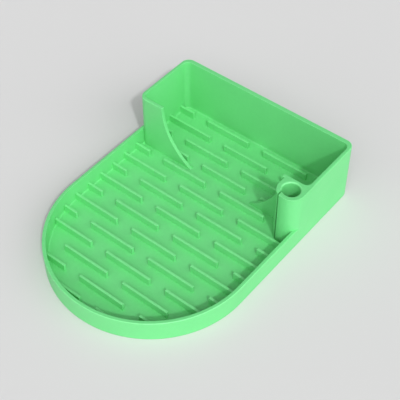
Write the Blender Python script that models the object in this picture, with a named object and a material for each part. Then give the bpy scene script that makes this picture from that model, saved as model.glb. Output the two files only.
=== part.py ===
"""Tumbler drying rack: a low D-shaped tray with raised bars, an upright box at the back and a straw holder.

Metres, +Z up. The round front faces -Y and the straight back faces +Y. The origin is on the surface that
the rack stands on, under the middle of its outline.
"""

from math import asin, ceil, cos, pi, radians, sin, sqrt

import bmesh
import bpy
from mathutils import Matrix

# Whole rack
WIDTH = 0.120
LENGTH = 0.164
WALL = 0.002
FLOOR = 0.002
RIM_HEIGHT = 0.0138

# Upright box at the back
BOX_HEIGHT = 0.0386
BOX_DEPTH = 0.0453
BOX_CORNER_RADIUS = 0.0052
BACK_WALL = 0.003
WING_TOP = 0.0016

# Straw holder at the box's right front corner
HOLDER_RADIUS = 0.008
BORE_RADIUS = 0.0051
MOUTH_CHAMFER = 0.0012
SLIT_WIDTH = 0.0009
SLIT_OFFSET = 0.00355

# Raised bars, in staggered rows counted from the back
BAR_LENGTH = 0.031
BAR_GAP = 0.011
BAR_WIDTH = 0.0015
BAR_HEIGHT = 0.0047
BAR_SHORTEST = 0.003
FIRST_ROW = 0.0094
LAST_ROW = 0.0074
ROW_COUNT = 15

# Clearance of the bars that end on a round face, how far cutters reach past what they cut, and how close
# two points are welded
BAR_CLEARANCE = 0.0001
CUTTER_MARGIN = 0.002
WELD = 0.00001

# Facets
FRONT_FACETS = 64
CORNER_FACETS = 10
HOLDER_FACETS = 48
OPENING_FACETS = 96

# Places that follow from the sizes
SIDE = WIDTH / 2
BACK = LENGTH / 2
INNER_SIDE = SIDE - WALL
ROUND_CENTRE = SIDE - LENGTH / 2
BOX_FRONT = BACK - BOX_DEPTH
INNER_CORNER_RADIUS = BOX_CORNER_RADIUS - WALL
REAR_INNER_RADIUS = BOX_CORNER_RADIUS - BACK_WALL
REAR_INNER_X = INNER_SIDE - REAR_INNER_RADIUS
CORNER_X = SIDE - BOX_CORNER_RADIUS
REAR_CORNER_Y = BACK - BOX_CORNER_RADIUS
FRONT_CORNER_Y = BOX_FRONT + BOX_CORNER_RADIUS
HOLDER_X = SIDE - HOLDER_RADIUS
HOLDER_Y = BOX_FRONT - BORE_RADIUS
HOLDER_LEFT = HOLDER_X - HOLDER_RADIUS
OPENING_RADIUS = HOLDER_LEFT - WING_TOP
BAR_PERIOD = BAR_LENGTH + BAR_GAP
ROW_PITCH = (LENGTH - FIRST_ROW - LAST_ROW) / (ROW_COUNT - 1)
OUTER_COLUMN = ceil(SIDE / BAR_PERIOD)

# Finish
GREEN = (0.16, 0.68, 0.235, 1)
SATIN = 0.45
SHARP_ANGLE = radians(30)


def clear_scene():
    for item in list(bpy.data.objects):
        bpy.data.objects.remove(item, do_unlink=True)


def collection(name):
    group = bpy.data.collections.new(name)
    bpy.context.scene.collection.children.link(group)
    return group


def green_plastic(name):
    """Satin green plastic, as one piece of the rack shows it."""
    material = bpy.data.materials.new(name + "_plastic")
    material.use_nodes = True
    shader = material.node_tree.nodes["Principled BSDF"]
    shader.inputs["Base Color"].default_value = GREEN
    shader.inputs["Roughness"].default_value = SATIN
    shader.inputs["Metallic"].default_value = 0
    return material


def add_piece(name, mesh, location=(0, 0, 0)):
    """Put a mesh in the rack as one named piece."""
    mesh.materials.clear()
    mesh.materials.append(green_plastic(name))
    piece = bpy.data.objects.new(name, mesh)
    piece.location = location
    piece.parent = rack
    pieces.objects.link(piece)
    return piece


def add_cutter(name, mesh, location=(0, 0, 0)):
    cutter = bpy.data.objects.new(name, mesh)
    cutter.location = location
    cutter.hide_render = True
    cutter.display_type = "WIRE"
    cutters.objects.link(cutter)
    return cutter


def box_mesh(name, size):
    """A box that stands on its own origin, centred in plan."""
    mesh = bpy.data.meshes.new(name)
    shape = bmesh.new()
    bmesh.ops.create_cube(shape, size=1)
    bmesh.ops.scale(shape, vec=size, verts=shape.verts)
    bmesh.ops.translate(shape, vec=(0, 0, size[2] / 2), verts=shape.verts)
    shape.to_mesh(mesh)
    shape.free()
    return mesh


def cylinder_mesh(name, radius, length, facets):
    """A cylinder along Y, centred on its own origin."""
    mesh = bpy.data.meshes.new(name)
    shape = bmesh.new()
    bmesh.ops.create_cone(shape, cap_ends=True, segments=facets, radius1=radius, radius2=radius,
                          depth=length, matrix=Matrix.Rotation(pi / 2, 4, "X"))
    shape.to_mesh(mesh)
    shape.free()
    return mesh


def outline_mesh(name, outline, height):
    """A closed outline in plan as a solid that stands on its own origin."""
    curve = bpy.data.curves.new(name, "CURVE")
    curve.dimensions = "2D"
    curve.fill_mode = "BOTH"
    curve.extrude = height / 2
    spline = curve.splines.new("POLY")
    spline.points.add(len(outline) - 1)
    for point, (x, y) in zip(spline.points, outline):
        point.co = (x, y, 0, 1)
    spline.use_cyclic_u = True
    guide = bpy.data.objects.new(name + "_outline", curve)
    cutters.objects.link(guide)
    graph = bpy.context.evaluated_depsgraph_get()
    mesh = bpy.data.meshes.new_from_object(guide.evaluated_get(graph))
    bpy.data.objects.remove(guide, do_unlink=True)
    shape = bmesh.new()
    shape.from_mesh(mesh)
    bmesh.ops.remove_doubles(shape, verts=shape.verts, dist=WELD)
    bmesh.ops.translate(shape, vec=(0, 0, height / 2), verts=shape.verts)
    shape.to_mesh(mesh)
    shape.free()
    return mesh


def combine(piece, other, operation):
    """Join a second solid to a piece, or cut it away."""
    step = piece.modifiers.new(other.name, "BOOLEAN")
    step.operation = operation
    step.solver = "EXACT"
    step.object = other


def shade_round(piece):
    piece.data.shade_smooth()
    piece.data.set_sharp_from_angle(angle=SHARP_ANGLE)


def arc(x, y, radius, start, end, facets):
    """Points along an arc in plan, both ends included."""
    angles = [start + (end - start) * step / facets for step in range(facets + 1)]
    return [(x + radius * cos(angle), y + radius * sin(angle)) for angle in angles]


def tray_floor():
    """The plate that everything stands on."""
    outline = arc(0, ROUND_CENTRE, SIDE, -pi, 0, FRONT_FACETS)
    outline += arc(CORNER_X, REAR_CORNER_Y, BOX_CORNER_RADIUS, 0, pi / 2, CORNER_FACETS)
    outline += arc(-CORNER_X, REAR_CORNER_Y, BOX_CORNER_RADIUS, pi / 2, pi, CORNER_FACETS)
    shade_round(add_piece("tray_floor", outline_mesh("tray_floor", outline, FLOOR)))


def rim_end(corner_x, corner_y, radius):
    """Where a low rim stops: its inner face meets the round corner that stands beside it."""
    reach = abs(INNER_SIDE - corner_x)
    return corner_y - sqrt(radius ** 2 - reach ** 2)


def low_rim():
    """The low wall: two straight sides and a half ring round the front."""
    left_end = rim_end(CORNER_X, FRONT_CORNER_Y, BOX_CORNER_RADIUS)
    right_end = rim_end(HOLDER_X, HOLDER_Y, HOLDER_RADIUS)
    outline = [(-SIDE, left_end)]
    outline += arc(0, ROUND_CENTRE, SIDE, -pi, 0, FRONT_FACETS)
    outline += [(SIDE, right_end), (INNER_SIDE, right_end)]
    outline += arc(0, ROUND_CENTRE, INNER_SIDE, 0, -pi, FRONT_FACETS)
    outline += [(-INNER_SIDE, left_end)]
    mesh = outline_mesh("low_rim", outline, RIM_HEIGHT - FLOOR)
    shade_round(add_piece("low_rim", mesh, (0, 0, FLOOR)))


def back_wall():
    """The upright box's back wall, with the two round corners that end it."""
    outline = arc(CORNER_X, REAR_CORNER_Y, BOX_CORNER_RADIUS, 0, pi / 2, CORNER_FACETS)
    outline += arc(-CORNER_X, REAR_CORNER_Y, BOX_CORNER_RADIUS, pi / 2, pi, CORNER_FACETS)
    outline += arc(-REAR_INNER_X, REAR_CORNER_Y, REAR_INNER_RADIUS, pi, pi / 2, CORNER_FACETS)
    outline += arc(REAR_INNER_X, REAR_CORNER_Y, REAR_INNER_RADIUS, pi / 2, 0, CORNER_FACETS)
    mesh = outline_mesh("back_wall", outline, BOX_HEIGHT - FLOOR)
    shade_round(add_piece("back_wall", mesh, (0, 0, FLOOR)))


def side_wall(name, x):
    """One of the upright box's straight side walls."""
    mesh = box_mesh(name, (WALL, REAR_CORNER_Y - FRONT_CORNER_Y, BOX_HEIGHT - FLOOR))
    add_piece(name, mesh, (x, (REAR_CORNER_Y + FRONT_CORNER_Y) / 2, FLOOR))


def rim_tail(name, outline):
    """The end of a low rim that belongs to the upright piece beside it."""
    return add_cutter(name, outline_mesh(name, outline, RIM_HEIGHT - FLOOR), (0, 0, FLOOR))


def front_opening():
    """The round cut that leaves a wing on either side of the box's front."""
    mesh = cylinder_mesh("front_opening", OPENING_RADIUS, 2 * BOX_CORNER_RADIUS, OPENING_FACETS)
    return add_cutter("front_opening", mesh, (0, BOX_FRONT, BOX_HEIGHT))


def left_wing(opening):
    """The box's front wall on the left, with the rounded corner that it starts from."""
    corner = (-CORNER_X, FRONT_CORNER_Y)
    outline = [(0, BOX_FRONT), (0, BOX_FRONT + WALL)]
    outline += arc(*corner, INNER_CORNER_RADIUS, 3 * pi / 2, pi, CORNER_FACETS)
    outline += arc(*corner, BOX_CORNER_RADIUS, pi, 3 * pi / 2, CORNER_FACETS)
    wing = add_piece("left_wing", outline_mesh("left_wing", outline, BOX_HEIGHT - FLOOR), (0, 0, FLOOR))
    end = rim_end(CORNER_X, FRONT_CORNER_Y, BOX_CORNER_RADIUS)
    tail = [(-SIDE, FRONT_CORNER_Y), (-SIDE, end), (-INNER_SIDE, end), (-INNER_SIDE, FRONT_CORNER_Y)]
    combine(wing, rim_tail("left_rim_tail", tail), "UNION")
    combine(wing, opening, "DIFFERENCE")
    shade_round(wing)


def right_wing(opening):
    """The box's front wall on the right, as far as the straw holder."""
    mesh = box_mesh("right_wing", (HOLDER_LEFT, WALL, BOX_HEIGHT - FLOOR))
    wing = add_piece("right_wing", mesh, (HOLDER_LEFT / 2, BOX_FRONT + WALL / 2, FLOOR))
    combine(wing, opening, "DIFFERENCE")
    shade_round(wing)


def bore_mouth():
    """The cone that widens the top of the straw holder's bore, so that a straw finds its way in."""
    mesh = bpy.data.meshes.new("bore_mouth")
    shape = bmesh.new()
    bmesh.ops.create_cone(shape, cap_ends=True, segments=HOLDER_FACETS,
                          radius1=BORE_RADIUS - CUTTER_MARGIN,
                          radius2=BORE_RADIUS + MOUTH_CHAMFER + CUTTER_MARGIN,
                          depth=MOUTH_CHAMFER + 2 * CUTTER_MARGIN)
    shape.to_mesh(mesh)
    shape.free()
    return add_cutter("bore_mouth", mesh, (HOLDER_X, HOLDER_Y, BOX_HEIGHT - MOUTH_CHAMFER / 2))


def slit_turn(radius, side):
    """Where a circle round the bore meets the slit's middle, or its near or far side (-1 or 1)."""
    return -pi / 2 - asin((SLIT_OFFSET + side * SLIT_WIDTH / 2) / radius)


def straw_holder():
    """The upright tube, slit at its front, and the web that makes it one with the box's corner."""
    front_share = -slit_turn(HOLDER_RADIUS, 0) / pi
    front_facets = round(HOLDER_FACETS / 2 * front_share)
    centre = (HOLDER_X, HOLDER_Y)
    outline = [(HOLDER_LEFT, BOX_FRONT + WALL)]
    outline += arc(CORNER_X, FRONT_CORNER_Y, INNER_CORNER_RADIUS, -pi / 2, 0, CORNER_FACETS)
    outline += [(SIDE, FRONT_CORNER_Y)]
    outline += arc(*centre, HOLDER_RADIUS, 0, slit_turn(HOLDER_RADIUS, -1), front_facets)
    outline += arc(*centre, BORE_RADIUS, slit_turn(BORE_RADIUS, -1), slit_turn(BORE_RADIUS, 1) + 2 * pi,
                   HOLDER_FACETS)
    outline += arc(*centre, HOLDER_RADIUS, slit_turn(HOLDER_RADIUS, 1), -pi,
                   HOLDER_FACETS // 2 - front_facets)
    mesh = outline_mesh("straw_holder", outline, BOX_HEIGHT - FLOOR)
    holder = add_piece("straw_holder", mesh, (0, 0, FLOOR))
    end = rim_end(HOLDER_X, HOLDER_Y, HOLDER_RADIUS)
    inside = HOLDER_X + (HOLDER_RADIUS + BORE_RADIUS) / 2
    tail = [(inside, HOLDER_Y), (SIDE, HOLDER_Y), (SIDE, end), (INNER_SIDE, end)]
    combine(holder, rim_tail("right_rim_tail", tail), "UNION")
    combine(holder, bore_mouth(), "DIFFERENCE")
    shade_round(holder)


def reach_of_row(y):
    """How far left and right the bars of the row at y may reach between the walls that stand there."""
    front, rear = y - BAR_WIDTH / 2, y + BAR_WIDTH / 2
    into_corner = FRONT_CORNER_Y - front
    left = INNER_SIDE
    if y < ROUND_CENTRE:
        left = sqrt(max(0, INNER_SIDE ** 2 - (ROUND_CENTRE - y) ** 2))
    if 0 < into_corner < INNER_CORNER_RADIUS:
        left = CORNER_X + sqrt(INNER_CORNER_RADIUS ** 2 - into_corner ** 2) - BAR_CLEARANCE
    if front < BOX_FRONT + WALL and rear > BOX_FRONT:
        left = sqrt(max(0, OPENING_RADIUS ** 2 - (BOX_HEIGHT - FLOOR) ** 2)) - BAR_CLEARANCE
    beside_holder = front < BOX_FRONT + WALL and rear > HOLDER_Y - HOLDER_RADIUS
    right = min(left, HOLDER_LEFT - BAR_CLEARANCE) if beside_holder else left
    return left, right


def bar_name(row, centre):
    """A bar's name, from its row and from its place left or right of the middle."""
    if centre == 0:
        return f"drain_bar_{row + 1:02d}_middle"
    side = "left" if centre < 0 else "right"
    return f"drain_bar_{row + 1:02d}_{side}_{ceil(abs(centre) / BAR_PERIOD)}"


def bar_spans():
    """Each bar's name, row position and two ends, row by row from the back."""
    spans = []
    for row in range(ROW_COUNT):
        y = BACK - FIRST_ROW - row * ROW_PITCH
        left, right = reach_of_row(y)
        shift = 0 if row % 2 else BAR_PERIOD / 2
        for column in range(-OUTER_COLUMN, OUTER_COLUMN + row % 2):
            centre = shift + column * BAR_PERIOD
            low = max(centre - BAR_LENGTH / 2, -left)
            high = min(centre + BAR_LENGTH / 2, right)
            low = -left if low + left < BAR_WIDTH else low
            high = right if right - high < BAR_WIDTH else high
            if high - low > BAR_SHORTEST:
                spans.append((bar_name(row, centre), y, low, high))
    return spans


def drain_bars():
    """The raised bars. Those that end on the round rim are trimmed to follow it."""
    inside = arc(0, ROUND_CENTRE, INNER_SIDE - BAR_CLEARANCE, -pi, 0, FRONT_FACETS)
    inside += [(INNER_SIDE - BAR_CLEARANCE, BACK), (BAR_CLEARANCE - INNER_SIDE, BACK)]
    round_inside = add_cutter("tray_inside", outline_mesh("tray_inside", inside, BOX_HEIGHT))
    for name, y, low, high in bar_spans():
        left, right = reach_of_row(y)
        trimmed = y < ROUND_CENTRE and (low == -left or high == right)
        if trimmed:
            low = low - CUTTER_MARGIN if low == -left else low
            high = high + CUTTER_MARGIN if high == right else high
        mesh = box_mesh(name, (high - low, BAR_WIDTH, BAR_HEIGHT))
        bar = add_piece(name, mesh, ((low + high) / 2, y, FLOOR))
        if trimmed:
            combine(bar, round_inside, "INTERSECT")


clear_scene()
pieces = collection("tumbler_drying_rack")
cutters = collection("cutters")
rack = bpy.data.objects.new("rack", None)
pieces.objects.link(rack)

tray_floor()
low_rim()
back_wall()
side_wall("left_side_wall", WALL / 2 - SIDE)
side_wall("right_side_wall", SIDE - WALL / 2)
front_cut = front_opening()
left_wing(front_cut)
right_wing(front_cut)
straw_holder()
drain_bars()
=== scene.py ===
"""Looks of the tumbler drying rack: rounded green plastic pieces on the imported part, in soft studio light.

Metres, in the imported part's frame: +Z up, the round front faces -Y and the straw holder is on the +X side.
"""

from math import asin, cos, pi, radians, sin, sqrt

import bmesh
import bpy
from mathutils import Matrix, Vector


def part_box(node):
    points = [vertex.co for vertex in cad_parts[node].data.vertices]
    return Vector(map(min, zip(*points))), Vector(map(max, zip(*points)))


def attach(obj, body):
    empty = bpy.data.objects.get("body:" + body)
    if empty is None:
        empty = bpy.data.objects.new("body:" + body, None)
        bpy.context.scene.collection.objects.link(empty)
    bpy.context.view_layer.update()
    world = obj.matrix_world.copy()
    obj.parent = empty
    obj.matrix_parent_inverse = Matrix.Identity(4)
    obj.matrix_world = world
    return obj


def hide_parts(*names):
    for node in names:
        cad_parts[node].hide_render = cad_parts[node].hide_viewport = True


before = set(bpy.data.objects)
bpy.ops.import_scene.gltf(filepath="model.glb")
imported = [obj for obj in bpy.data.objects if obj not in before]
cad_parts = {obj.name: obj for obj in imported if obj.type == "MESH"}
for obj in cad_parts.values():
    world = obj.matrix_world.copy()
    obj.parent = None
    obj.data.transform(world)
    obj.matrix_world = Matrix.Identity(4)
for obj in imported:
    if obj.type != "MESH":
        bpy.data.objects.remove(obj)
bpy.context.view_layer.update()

BODY = "root"
# Vertex layer that marks where a highlight is painted into the plastic's colour
PAINTED_HIGHLIGHT_LAYER = "painted_highlight"

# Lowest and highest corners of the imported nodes
FLOOR_LOW, FLOOR_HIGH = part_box("tray_floor")
SIDE_LOW, SIDE_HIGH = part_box("right_side_wall")
RIM_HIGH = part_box("low_rim")[1]
BACK_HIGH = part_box("back_wall")[1]
LEFT_WING_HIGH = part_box("left_wing")[1]
RIGHT_WING_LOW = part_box("right_wing")[0]
HOLDER_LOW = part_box("straw_holder")[0]

# Heights
GROUND = FLOOR_LOW.z
BASE = FLOOR_HIGH.z
RIM_TOP = RIM_HIGH.z
BOX_TOP = BACK_HIGH.z

# Walls in plan
WALL = SIDE_HIGH.x - SIDE_LOW.x
SIDE = SIDE_HIGH.x
INNER_SIDE = SIDE_LOW.x
BACK = BACK_HIGH.y
ROUND_CENTRE = FLOOR_LOW.y + SIDE
BOX_FRONT = RIGHT_WING_LOW.y
REAR_CORNER_Y = SIDE_HIGH.y
FRONT_CORNER_Y = SIDE_LOW.y
CORNER_RADIUS = BACK - REAR_CORNER_Y
CORNER_X = SIDE - CORNER_RADIUS

# Back wall's thickness, and its round inner corners, where the side walls' pieces end
BACK_WALL = 0.003
REAR_INNER_RADIUS = 0.0036
REAR_INNER_X = INNER_SIDE - REAR_INNER_RADIUS
REAR_INNER_Y = BACK - BACK_WALL - REAR_INNER_RADIUS

# Straw holder: a tube round an upright bore, with a straight slit in its front, left of the bore's middle
HOLDER_LEFT = HOLDER_LOW.x
HOLDER_RADIUS = (SIDE - HOLDER_LEFT) / 2
BORE_RADIUS = 0.0051
MOUTH_ROUNDING = 0.0012
HOLDER_X = SIDE - HOLDER_RADIUS
HOLDER_Y = BOX_FRONT - BORE_RADIUS
SLIT_WIDTH = 0.0009
SLIT_OFFSET = 0.00355

# Rounding of the walls' outer top edges, of the other edges, of the tray's lower edge, and of the hollow
# where a wall's inner face meets the tray
OUTER_EDGE = 0.00045
EDGE = 0.00012
FOOT_EDGE = 0.0008
COVE = 0.001

# Steps round each curve
EDGE_STEPS = 3
FOOT_STEPS = 4
COVE_STEPS = 6
ROUND_STEPS = 64
CORNER_STEPS = 10
HOLDER_STEPS = 48
MOUTH_STEPS = 6
WING_STEPS = 40

# Clearance of the bars that end on the round wall
BAR_CLEARANCE = 0.0001

# How edges, faces and places are told apart
SHARP_ANGLE = radians(35)
FACING_UP = 0.99
NEAR = 0.00002
BOX_MIDDLE = Vector((0, (BOX_FRONT + BACK) / 2, 0))

# Camera, as the photograph was taken
CAMERA_TARGET = Vector((-0.00308, 0.02283, 0))
CAMERA_AZIMUTH = radians(38.652)
CAMERA_ELEVATION = radians(47.711)
CAMERA_DISTANCE = 0.575
CAMERA_LENS = 89.54
CAMERA_SENSOR = 36
CAMERA_NEAREST = 0.01
CAMERA_FURTHEST = 20

# Sky's strength on the rack, and as the camera sees it beyond the floor
SKY = 0.285
HORIZON = 0.72

# Far lamps: the direction that each shines from, its strength, and how many degrees across it is
LAMPS = {
    "key": ((0.816, -0.583, 1), 1.0, 3),
    "right_fill": ((1, 0, 0.35), 1.75, 70),
    "shoulder_fill": ((0.42, -0.525, 0.74), 1.05, 40),
    "front_fill": ((0, -1, 0.35), 0.82, 70),
}

# Floor under the rack
FLOOR_REACH = 3
FLOOR_GREY = 0.68
FLOOR_ROUGHNESS = 0.9
FLOOR_SHINE = 0.1

# Colours of the plastic: its two shades, and the paler green that is painted on as a highlight
GREEN = (0.16, 0.68, 0.235, 1)
DEEP_GREEN = (0.148, 0.655, 0.222, 1)
HIGHLIGHT_GREEN = (0.25, 0.86, 0.34, 1)

# Patches of the plastic: size, fineness, and the stretch of noise that they are drawn from
CLOUD_SIZE = 0.028
CLOUD_DETAIL = 2
CLOUD_RANGE = (0.3, 0.7)
FLECK_SIZE = 0.0022
FLECK_DETAIL = 3
FLECK_RANGE = (0.35, 0.65)
GRAIN_SIZE = 0.00038
GRAIN_DETAIL = 2

# How far the clouds, and else the flecks, choose between the two shades
CLOUD_SHARE = 0.55

# Painted highlight: how strongly a bar's top is painted lighter, how patchy the painted highlight is, and how
# pale it turns the plastic
BAR_TOP_HIGHLIGHT = 0.7
HIGHLIGHT_PATCHINESS = 0.4
HIGHLIGHT_PALENESS = 0.6

# Finish: roughness, and what flecks add to it, and clouds and the painted-highlight places take from it
SATIN = 0.44
FLECK_DULLNESS = 0.05
CLOUD_GLOSS = 0.06
HIGHLIGHT_GLOSS = 0.08

# Relief of the grain, and of the flecks beside it
GRAIN_HEIGHT = 0.00002
FLECK_RELIEF = 0.6


class Socket:
    """A shader value that takes part in sums as a number does."""

    def __init__(self, nodes, link):
        self.nodes = nodes
        self.link = link

    def _math(self, operation, first, second):
        """Add one sum of two values, and return its result."""
        return self.nodes.add("ShaderNodeMath", {"operation": operation}, {0: first, 1: second})["Value"]

    def __add__(self, other):
        return self._math("ADD", self, other)

    def __radd__(self, other):
        return self._math("ADD", other, self)

    def __sub__(self, other):
        return self._math("SUBTRACT", self, other)

    def __rsub__(self, other):
        return self._math("SUBTRACT", other, self)

    def __mul__(self, other):
        return self._math("MULTIPLY", self, other)

    def __rmul__(self, other):
        return self._math("MULTIPLY", other, self)


class Nodes:
    """Adds nodes to one material, or to the world."""

    def __init__(self, owner):
        self.tree = owner.node_tree

    def add(self, kind, settings=None, inputs=None):
        """Add a node with its settings, then its sockets' values or links, and return its outputs by name."""
        node = self.tree.nodes.new(kind)
        for name, value in (settings or {}).items():
            setattr(node, name, value)
        for name, value in (inputs or {}).items():
            self.feed(node.inputs[name], value)
        return {output.name: Socket(self, output) for output in node.outputs if output.enabled}

    def noise(self, place, size, detail):
        """Soft random patches about size across, from 0 to 1."""
        return self.add("ShaderNodeTexNoise", {"noise_dimensions": "3D"},
                        {"Vector": place, "Scale": 1 / size, "Detail": detail})["Fac"]

    def spread(self, value, low, high):
        """Stretch what lies between low and high to 0 and 1."""
        return self.add("ShaderNodeMapRange", {"interpolation_type": "SMOOTHSTEP"},
                        {"Value": value, "From Min": low, "From Max": high})["Result"]

    def mix(self, factor, first, second):
        """A colour between the first, at factor 0, and the second, at 1."""
        return self.add("ShaderNodeMix", {"data_type": "RGBA"}, {0: factor, 6: first, 7: second})["Result"]

    def feed(self, socket, value):
        """Link a shader value to a socket, or set the socket to a plain value."""
        if isinstance(value, Socket):
            self.tree.links.new(value.link, socket)
        else:
            socket.default_value = value


def new_material(name):
    """A new material, what adds its nodes, and its shader's sockets."""
    material = bpy.data.materials.new(name)
    material.use_nodes = True
    return material, Nodes(material), material.node_tree.nodes["Principled BSDF"].inputs


def green_plastic():
    """Satin green plastic: coloured in the mass, finely grained, and paler and smoother where a highlight is
    painted on rounded edges and bar tops.
    """
    material, nodes, shader = new_material("green_plastic")
    place = nodes.add("ShaderNodeTexCoord")["Object"]
    clouds = nodes.spread(nodes.noise(place, CLOUD_SIZE, CLOUD_DETAIL), *CLOUD_RANGE)
    flecks = nodes.spread(nodes.noise(place, FLECK_SIZE, FLECK_DETAIL), *FLECK_RANGE)
    grain = nodes.noise(place, GRAIN_SIZE, GRAIN_DETAIL)
    highlight_marks = nodes.add("ShaderNodeAttribute", {"attribute_name": PAINTED_HIGHLIGHT_LAYER})["Fac"]
    # Painted highlight: the marked places, broken up by the flecks
    painted_highlight = highlight_marks * (1 - HIGHLIGHT_PATCHINESS + HIGHLIGHT_PATCHINESS * flecks)
    colour = nodes.mix(CLOUD_SHARE * clouds + (1 - CLOUD_SHARE) * flecks, DEEP_GREEN, GREEN)
    # Painted highlight: the plastic turns paler green where marked, and its roughness drops there too
    nodes.feed(shader["Base Color"], nodes.mix(HIGHLIGHT_PALENESS * painted_highlight, colour, HIGHLIGHT_GREEN))
    nodes.feed(shader["Roughness"],
               SATIN + FLECK_DULLNESS * flecks - CLOUD_GLOSS * clouds - HIGHLIGHT_GLOSS * painted_highlight)
    bump = nodes.add("ShaderNodeBump", None,
                     {"Height": grain + FLECK_RELIEF * flecks, "Distance": GRAIN_HEIGHT, "Strength": 1.0})
    nodes.feed(shader["Normal"], bump["Normal"])
    return material


def pale_floor():
    """The plain pale floor that the rack stands on."""
    material, nodes, shader = new_material("pale_floor")
    nodes.feed(shader["Base Color"], (FLOOR_GREY, FLOOR_GREY, FLOOR_GREY, 1))
    nodes.feed(shader["Roughness"], FLOOR_ROUGHNESS)
    nodes.feed(shader["Specular IOR Level"], FLOOR_SHINE)
    return material


def only(kind, items):
    """Those of one kind, such as the vertices, among the items that an operator gives back."""
    return [item for item in items if isinstance(item, kind)]


class Outline:
    """A closed outline in plan, drawn with straight runs and turns, then raised to a solid."""

    def __init__(self, x, y, z):
        self.shape = bmesh.new()
        self.z = z
        self.tip = bmesh.ops.create_vert(self.shape, co=(x, y, z))["vert"][0]

    def run(self, x, y):
        """Draw a straight line to x, y."""
        self.tip = bmesh.ops.extrude_vert_indiv(self.shape, verts=[self.tip])["verts"][0]
        self.tip.co = (x, y, self.z)

    def turn(self, x, y, angle, steps):
        """Draw an arc round the centre x, y."""
        turned = bmesh.ops.spin(self.shape, geom=[self.tip], cent=(x, y, self.z), axis=(0, 0, 1),
                                angle=angle, steps=steps)
        self.tip = turned["geom_last"][0]

    def raised(self, top):
        """Close the outline, fill it and raise it to the height top."""
        bmesh.ops.remove_doubles(self.shape, verts=self.shape.verts, dist=NEAR)
        ends = [vert for vert in self.shape.verts if len(vert.link_edges) == 1]
        if ends:
            self.shape.edges.new(ends)
        face = bmesh.ops.contextual_create(self.shape, geom=self.shape.edges[:])["faces"]
        up = bmesh.ops.extrude_face_region(self.shape, geom=face)["geom"]
        bmesh.ops.translate(self.shape, vec=(0, 0, top - self.z), verts=only(bmesh.types.BMVert, up))
        bmesh.ops.recalc_face_normals(self.shape, faces=self.shape.faces)
        return self.shape


class Cove:
    """The hollow rounding at a wall's foot, swept along it from where the wall's inner face looks along X."""

    def __init__(self, x, y, looks):
        self.shape = bmesh.new()
        start = bmesh.ops.create_vert(self.shape, co=(x, y, BASE + COVE))["vert"]
        turned = bmesh.ops.spin(self.shape, geom=start, cent=(x + looks * COVE, y, BASE + COVE),
                                axis=(0, 1, 0), angle=-looks * pi / 2, steps=COVE_STEPS)
        foot = bmesh.ops.extrude_vert_indiv(self.shape, verts=turned["geom_last"])["verts"][0]
        foot.co = (x, y, BASE)
        self.shape.edges.new((foot, start[0]))
        self.first = bmesh.ops.contextual_create(self.shape, geom=self.shape.edges[:])["faces"][0]
        self.face = self.first

    def move_on(self, moved):
        """Take the new end face, and leave none inside the sweep."""
        if self.face != self.first:
            bmesh.ops.delete(self.shape, geom=[self.face], context="FACES_ONLY")
        self.face = only(bmesh.types.BMFace, moved)[0]

    def run(self, x, y):
        """Go straight on, by x and y."""
        moved = bmesh.ops.extrude_face_region(self.shape, geom=[self.face])["geom"]
        bmesh.ops.translate(self.shape, vec=(x, y, 0), verts=only(bmesh.types.BMVert, moved))
        self.move_on(moved)

    def turn(self, x, y, angle, steps):
        """Go round the centre x, y."""
        self.move_on(bmesh.ops.spin(self.shape, geom=[self.face], cent=(x, y, BASE), axis=(0, 0, 1),
                                    angle=angle, steps=steps)["geom_last"])

    def done(self):
        """Finish the sweep, shaded smooth along its hollow, and return its shape."""
        bmesh.ops.recalc_face_normals(self.shape, faces=self.shape.faces)
        for face in self.shape.faces:
            face.smooth = True
        for edge in self.shape.edges:
            edge.smooth = edge.calc_face_angle(0) < SHARP_ANGLE
        return self.shape


def on_plane(item, axis, place):
    """Whether an edge or face lies at one place along an axis (0, 1 or 2 for X, Y or Z)."""
    return all(abs(vert.co[axis] - place) < NEAR for vert in item.verts)


def blunted(shape, edges, size, steps):
    """Round the edges given, and return the new faces."""
    return set(bmesh.ops.bevel(shape, geom=edges, offset=size, offset_type="OFFSET", affect="EDGES",
                               segments=steps, profile=0.5, material=-1, clamp_overlap=True)["faces"])


def rounded(shape, edges, size, steps):
    """Round the edges given, and mark the middle of the new faces for a painted highlight."""
    fresh = blunted(shape, edges, size, steps)
    painted_highlight = shape.verts.layers.float.get(PAINTED_HIGHLIGHT_LAYER) or shape.verts.layers.float.new(PAINTED_HIGHLIGHT_LAYER)
    # Painted highlight along the middle of each rounding
    for face in fresh:
        for vert in face.verts:
            vert[painted_highlight] = float(all(beside in fresh for beside in vert.link_faces))
    return fresh


def sharp_edges(shape, joints):
    """The sharp edges but those that lie in a joint with the next piece."""
    return [edge for edge in shape.edges if edge.calc_face_angle(0) > SHARP_ANGLE
            and not any(on_plane(edge, *joint) for joint in joints)]


def faces_out(face):
    """Whether an upright face looks away from the rack's inside."""
    return face.normal.z < NEAR and face.normal.dot(face.calc_center_median() - BOX_MIDDLE) > 0


def round_edges(shape, joints, top=None, before=()):
    """Round the outer edges at the height top well, and every other sharp edge but the joints' a little.

    Before holds the faces of edges that are round already. Each rounding is shaded by itself, so that the
    flat faces beside it look flat.
    """
    fresh = set(before)
    if top:
        outer = [edge for edge in sharp_edges(shape, joints) if on_plane(edge, 2, top)
                 and any(faces_out(face) for face in edge.link_faces)]
        fresh |= rounded(shape, outer, OUTER_EDGE, EDGE_STEPS)
    fresh |= rounded(shape, sharp_edges(shape, joints), EDGE, EDGE_STEPS)
    fresh = {face for face in fresh if face.is_valid}
    for face in shape.faces:
        face.smooth = True
    for edge in shape.edges:
        kinds = {face in fresh for face in edge.link_faces}
        edge.smooth = len(kinds) == 1 and edge.calc_face_angle(0) < SHARP_ANGLE


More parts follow.
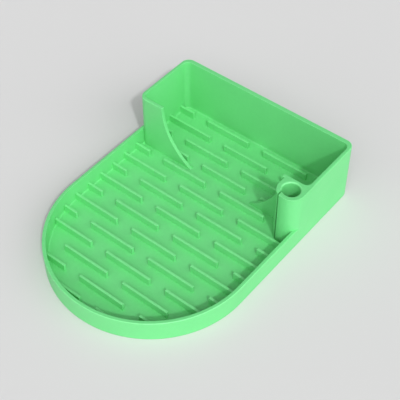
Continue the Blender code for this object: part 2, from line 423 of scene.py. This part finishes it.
def add_piece(name, shape):
    """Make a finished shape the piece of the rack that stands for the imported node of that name."""
    mesh = bpy.data.meshes.new(name)
    shape.to_mesh(mesh)
    shape.free()
    mesh.materials.append(PLASTIC)
    piece = bpy.data.objects.new(name + "_looks", mesh)
    bpy.context.scene.collection.objects.link(piece)
    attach(piece, BODY)
    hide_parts(name)


def joined(shape, other):
    """Put a second solid into the same shape."""
    mesh = bpy.data.meshes.new("part_of_piece")
    other.to_mesh(mesh)
    other.free()
    shape.from_mesh(mesh)
    bpy.data.meshes.remove(mesh)
    return shape


def tray_floor():
    """The D-shaped plate that everything stands on, with its lower edge rounded."""
    plan = Outline(-SIDE, ROUND_CENTRE, GROUND)
    plan.turn(0, ROUND_CENTRE, pi, ROUND_STEPS)
    plan.run(SIDE, REAR_CORNER_Y)
    plan.turn(CORNER_X, REAR_CORNER_Y, pi / 2, CORNER_STEPS)
    plan.run(-CORNER_X, BACK)
    plan.turn(-CORNER_X, REAR_CORNER_Y, pi / 2, CORNER_STEPS)
    shape = plan.raised(BASE)
    foot = blunted(shape, [edge for edge in shape.edges if on_plane(edge, 2, GROUND)], FOOT_EDGE, FOOT_STEPS)
    round_edges(shape, [(2, BASE)], None, foot)
    add_piece("tray_floor", shape)


def rim_end(corner_x, corner_y, radius):
    """Where the low rim's inner face meets the round corner beside it."""
    return corner_y - sqrt(radius ** 2 - (INNER_SIDE - corner_x) ** 2)


LEFT_END = rim_end(CORNER_X, FRONT_CORNER_Y, CORNER_RADIUS)
RIGHT_END = rim_end(HOLDER_X, HOLDER_Y, HOLDER_RADIUS)


def low_rim():
    """The low wall round the tray, from the box's left side round the front to the straw holder."""
    plan = Outline(-SIDE, LEFT_END, BASE)
    plan.run(-SIDE, ROUND_CENTRE)
    plan.turn(0, ROUND_CENTRE, pi, ROUND_STEPS)
    plan.run(SIDE, RIGHT_END)
    plan.run(INNER_SIDE, RIGHT_END)
    plan.run(INNER_SIDE, ROUND_CENTRE)
    plan.turn(0, ROUND_CENTRE, -pi, ROUND_STEPS)
    plan.run(-INNER_SIDE, LEFT_END)
    shape = plan.raised(RIM_TOP)
    round_edges(shape, [(2, BASE), (1, LEFT_END), (1, RIGHT_END)], RIM_TOP)
    cove = Cove(-INNER_SIDE, LEFT_END, 1)
    cove.run(0, ROUND_CENTRE - LEFT_END)
    cove.turn(0, ROUND_CENTRE, pi, ROUND_STEPS)
    cove.run(0, RIGHT_END - ROUND_CENTRE)
    add_piece("low_rim", joined(shape, cove.done()))


def back_wall():
    """The box's back wall with its two round corners."""
    plan = Outline(SIDE, REAR_INNER_Y, BASE)
    plan.run(SIDE, REAR_CORNER_Y)
    plan.turn(CORNER_X, REAR_CORNER_Y, pi / 2, CORNER_STEPS)
    plan.run(-CORNER_X, BACK)
    plan.turn(-CORNER_X, REAR_CORNER_Y, pi / 2, CORNER_STEPS)
    plan.run(-SIDE, REAR_INNER_Y)
    plan.run(-INNER_SIDE, REAR_INNER_Y)
    plan.turn(-REAR_INNER_X, REAR_INNER_Y, -pi / 2, CORNER_STEPS)
    plan.run(REAR_INNER_X, BACK - BACK_WALL)
    plan.turn(REAR_INNER_X, REAR_INNER_Y, -pi / 2, CORNER_STEPS)
    shape = plan.raised(BOX_TOP)
    round_edges(shape, [(2, BASE), (1, REAR_INNER_Y)], BOX_TOP)
    cove = Cove(-INNER_SIDE, REAR_INNER_Y, 1)
    cove.turn(-REAR_INNER_X, REAR_INNER_Y, -pi / 2, CORNER_STEPS)
    cove.run(2 * REAR_INNER_X, 0)
    cove.turn(REAR_INNER_X, REAR_INNER_Y, -pi / 2, CORNER_STEPS)
    add_piece("back_wall", joined(shape, cove.done()))


def side_wall(name, outer, inner):
    """One of the box's side walls, between the places of its outer and inner faces."""
    plan = Outline(outer, FRONT_CORNER_Y, BASE)
    plan.run(inner, FRONT_CORNER_Y)
    plan.run(inner, REAR_INNER_Y)
    plan.run(outer, REAR_INNER_Y)
    shape = plan.raised(BOX_TOP)
    round_edges(shape, [(2, BASE), (1, FRONT_CORNER_Y), (1, REAR_INNER_Y)], BOX_TOP)
    cove = Cove(inner, FRONT_CORNER_Y, 1 if inner < 0 else -1)
    cove.run(0, REAR_INNER_Y - FRONT_CORNER_Y)
    add_piece(name, joined(shape, cove.done()))


def wing_plate(reach, end_x):
    """A wing's flat plate, from its round cut to end_x. Reach is where the cut meets the tray's floor."""
    side = 1 if end_x > 0 else -1
    centre = Vector((0, BOX_FRONT, BOX_TOP))
    shape = bmesh.new()
    foot = bmesh.ops.create_vert(shape, co=(side * reach, BOX_FRONT, BASE))["vert"]
    swing = Vector((side, 0, 0)).angle(foot[0].co - centre)
    bmesh.ops.spin(shape, geom=foot, cent=centre, axis=(0, 1, 0), angle=-side * swing, steps=WING_STEPS)
    moved = bmesh.ops.extrude_edge_only(shape, edges=shape.edges[:])["geom"]
    for vert in only(bmesh.types.BMVert, moved):
        vert.co.x = end_x
    deep = bmesh.ops.extrude_face_region(shape, geom=shape.faces[:])["geom"]
    bmesh.ops.translate(shape, vec=(0, WALL, 0), verts=only(bmesh.types.BMVert, deep))
    return shape


def rim_tail(side, end, corner_y):
    """The low rim's last stretch, which runs into the upright piece beside it."""
    plan = Outline(side * SIDE, end, BASE)
    plan.run(side * INNER_SIDE, end)
    plan.run(side * (SIDE + INNER_SIDE) / 2, corner_y)
    plan.run(side * SIDE, corner_y)
    shape = plan.raised(RIM_TOP)
    round_edges(shape, [(2, BASE), (1, end), (1, corner_y)], RIM_TOP)
    return shape


def left_wing():
    """The left wing with the box's round left front corner, and the low rim's end that runs into it."""
    shape = wing_plate(-LEFT_WING_HIGH.x, -CORNER_X)
    end = [face for face in shape.faces if on_plane(face, 0, -CORNER_X)]
    bmesh.ops.spin(shape, geom=end, cent=(-CORNER_X, FRONT_CORNER_Y, BASE), axis=(0, 0, 1),
                   angle=-pi / 2, steps=CORNER_STEPS)
    bmesh.ops.remove_doubles(shape, verts=shape.verts, dist=NEAR)
    inner = [face for face in shape.faces if on_plane(face, 0, -CORNER_X)]
    bmesh.ops.delete(shape, geom=inner, context="FACES_ONLY")
    loose = [edge for edge in shape.edges if not edge.link_faces]
    bmesh.ops.delete(shape, geom=loose, context="EDGES")
    bmesh.ops.recalc_face_normals(shape, faces=shape.faces)
    round_edges(shape, [(2, BASE), (1, FRONT_CORNER_Y)], BOX_TOP)
    cove = Cove(-INNER_SIDE, FRONT_CORNER_Y, 1)
    cove.turn(-CORNER_X, FRONT_CORNER_Y, pi / 2, CORNER_STEPS)
    cove.run(LEFT_WING_HIGH.x + CORNER_X, 0)
    joined(shape, cove.done())
    add_piece("left_wing", joined(shape, rim_tail(-1, LEFT_END, FRONT_CORNER_Y)))


def right_wing():
    """The right wing, which ends at the straw holder."""
    shape = wing_plate(RIGHT_WING_LOW.x, HOLDER_LEFT)
    bmesh.ops.recalc_face_normals(shape, faces=shape.faces)
    round_edges(shape, [(2, BASE), (0, HOLDER_LEFT)], BOX_TOP)
    add_piece("right_wing", shape)


def ring_edges(shape, radius):
    """The edges at the top of the straw holder that lie on a circle round its bore."""
    centre = Vector((HOLDER_X, HOLDER_Y, BOX_TOP))
    return [edge for edge in shape.edges if on_plane(edge, 2, BOX_TOP)
            and all(abs((vert.co - centre).length - radius) < NEAR for vert in edge.verts)]


def slit_turn(radius, side):
    """Where a circle round the bore meets the slit's near or far side (-1 or 1)."""
    return -pi / 2 - asin((SLIT_OFFSET + side * SLIT_WIDTH / 2) / radius)


def straw_holder():
    """The slit tube, the web and round corner that tie it to the box, and the low rim's end beside it."""
    near_x = HOLDER_X - SLIT_OFFSET + SLIT_WIDTH / 2
    far_x = HOLDER_X - SLIT_OFFSET - SLIT_WIDTH / 2
    bore_start, bore_end = slit_turn(BORE_RADIUS, -1), slit_turn(BORE_RADIUS, 1) + 2 * pi
    plan = Outline(HOLDER_LEFT, BOX_FRONT + WALL, BASE)
    plan.run(CORNER_X, BOX_FRONT + WALL)
    plan.turn(CORNER_X, FRONT_CORNER_Y, pi / 2, CORNER_STEPS)
    plan.run(SIDE, FRONT_CORNER_Y)
    plan.run(SIDE, HOLDER_Y)
    plan.turn(HOLDER_X, HOLDER_Y, slit_turn(HOLDER_RADIUS, -1), HOLDER_STEPS // 2)
    plan.run(near_x, HOLDER_Y + BORE_RADIUS * sin(bore_start))
    plan.turn(HOLDER_X, HOLDER_Y, bore_end - bore_start, HOLDER_STEPS)
    plan.run(far_x, HOLDER_Y + HOLDER_RADIUS * sin(slit_turn(HOLDER_RADIUS, 1)))
    plan.turn(HOLDER_X, HOLDER_Y, -pi - slit_turn(HOLDER_RADIUS, 1), HOLDER_STEPS // 2)
    plan.run(HOLDER_LEFT, BOX_FRONT)
    shape = plan.raised(BOX_TOP)
    ring = rounded(shape, ring_edges(shape, BORE_RADIUS), MOUTH_ROUNDING, MOUTH_STEPS)
    ring |= rounded(shape, ring_edges(shape, HOLDER_RADIUS), OUTER_EDGE, EDGE_STEPS)
    round_edges(shape, [(2, BASE), (1, FRONT_CORNER_Y)], BOX_TOP, ring)
    add_piece("straw_holder", joined(shape, rim_tail(1, RIGHT_END, HOLDER_Y)))


def drain_bar(name):
    """One raised bar, with its edges and free ends rounded and a highlight painted on its top."""
    low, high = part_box(name)
    shape = bmesh.new()
    bmesh.ops.create_cube(shape, size=1)
    bmesh.ops.scale(shape, vec=high - low, verts=shape.verts)
    bmesh.ops.translate(shape, vec=(low + high) / 2, verts=shape.verts)
    if high.y < ROUND_CENTRE:
        for vert in shape.verts:
            reach = sqrt((INNER_SIDE - BAR_CLEARANCE) ** 2 - (ROUND_CENTRE - vert.co.y) ** 2)
            vert.co.x = max(-reach, min(reach, vert.co.x))
    round_edges(shape, [(2, low.z), (0, -INNER_SIDE), (0, INNER_SIDE)])
    # Painted highlight: the bar's top is painted lighter
    painted_highlight = shape.verts.layers.float[PAINTED_HIGHLIGHT_LAYER]
    for face in shape.faces:
        if face.normal.z > FACING_UP:
            for vert in face.verts:
                vert[painted_highlight] = BAR_TOP_HIGHLIGHT
    add_piece(name, shape)


def camera():
    """The camera that sees the rack as the photograph does."""
    lens = bpy.data.cameras.new("camera")
    lens.lens = CAMERA_LENS
    lens.sensor_width = CAMERA_SENSOR
    lens.clip_start = CAMERA_NEAREST
    lens.clip_end = CAMERA_FURTHEST
    view = bpy.data.objects.new("camera", lens)
    back = Vector((sin(CAMERA_AZIMUTH) * cos(CAMERA_ELEVATION), -cos(CAMERA_AZIMUTH) * cos(CAMERA_ELEVATION),
                   sin(CAMERA_ELEVATION)))
    view.location = CAMERA_TARGET + CAMERA_DISTANCE * back
    view.rotation_euler = back.to_track_quat("Z", "Y").to_euler()
    bpy.context.scene.collection.objects.link(view)
    bpy.context.scene.camera = view


def lamp(name, towards, strength, spread):
    """A far lamp that shines from the direction given, and is spread degrees across."""
    light = bpy.data.lights.new(name, "SUN")
    light.energy = strength
    light.angle = radians(spread)
    item = bpy.data.objects.new(name, light)
    item.rotation_euler = Vector(towards).to_track_quat("Z", "Y").to_euler()
    bpy.context.scene.collection.objects.link(item)


def lights():
    """Soft studio light: a pale sky all round and four far lamps."""
    world = bpy.data.worlds.new("studio")
    world.use_nodes = True
    nodes = Nodes(world)
    background = world.node_tree.nodes["Background"].inputs
    seen = nodes.add("ShaderNodeLightPath")["Is Camera Ray"]
    nodes.feed(background["Color"], (1, 1, 1, 1))
    nodes.feed(background["Strength"], SKY + (HORIZON - SKY) * seen)
    bpy.context.scene.world = world
    for name, (towards, strength, spread) in LAMPS.items():
        lamp(name, towards, strength, spread)


def stage():
    """The floor that the rack stands on."""
    shape = bmesh.new()
    bmesh.ops.create_grid(shape, x_segments=1, y_segments=1, size=FLOOR_REACH)
    mesh = bpy.data.meshes.new("floor")
    shape.to_mesh(mesh)
    shape.free()
    mesh.materials.append(pale_floor())
    ground = bpy.data.objects.new("floor", mesh)
    bpy.context.scene.collection.objects.link(ground)


bpy.context.scene.view_settings.view_transform = "Standard"
PLASTIC = green_plastic()
tray_floor()
low_rim()
back_wall()
side_wall("left_side_wall", -SIDE, -INNER_SIDE)
side_wall("right_side_wall", SIDE, INNER_SIDE)
left_wing()
right_wing()
straw_holder()
for bar in sorted(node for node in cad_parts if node.startswith("drain_bar")):
    drain_bar(bar)
camera()
lights()
stage()
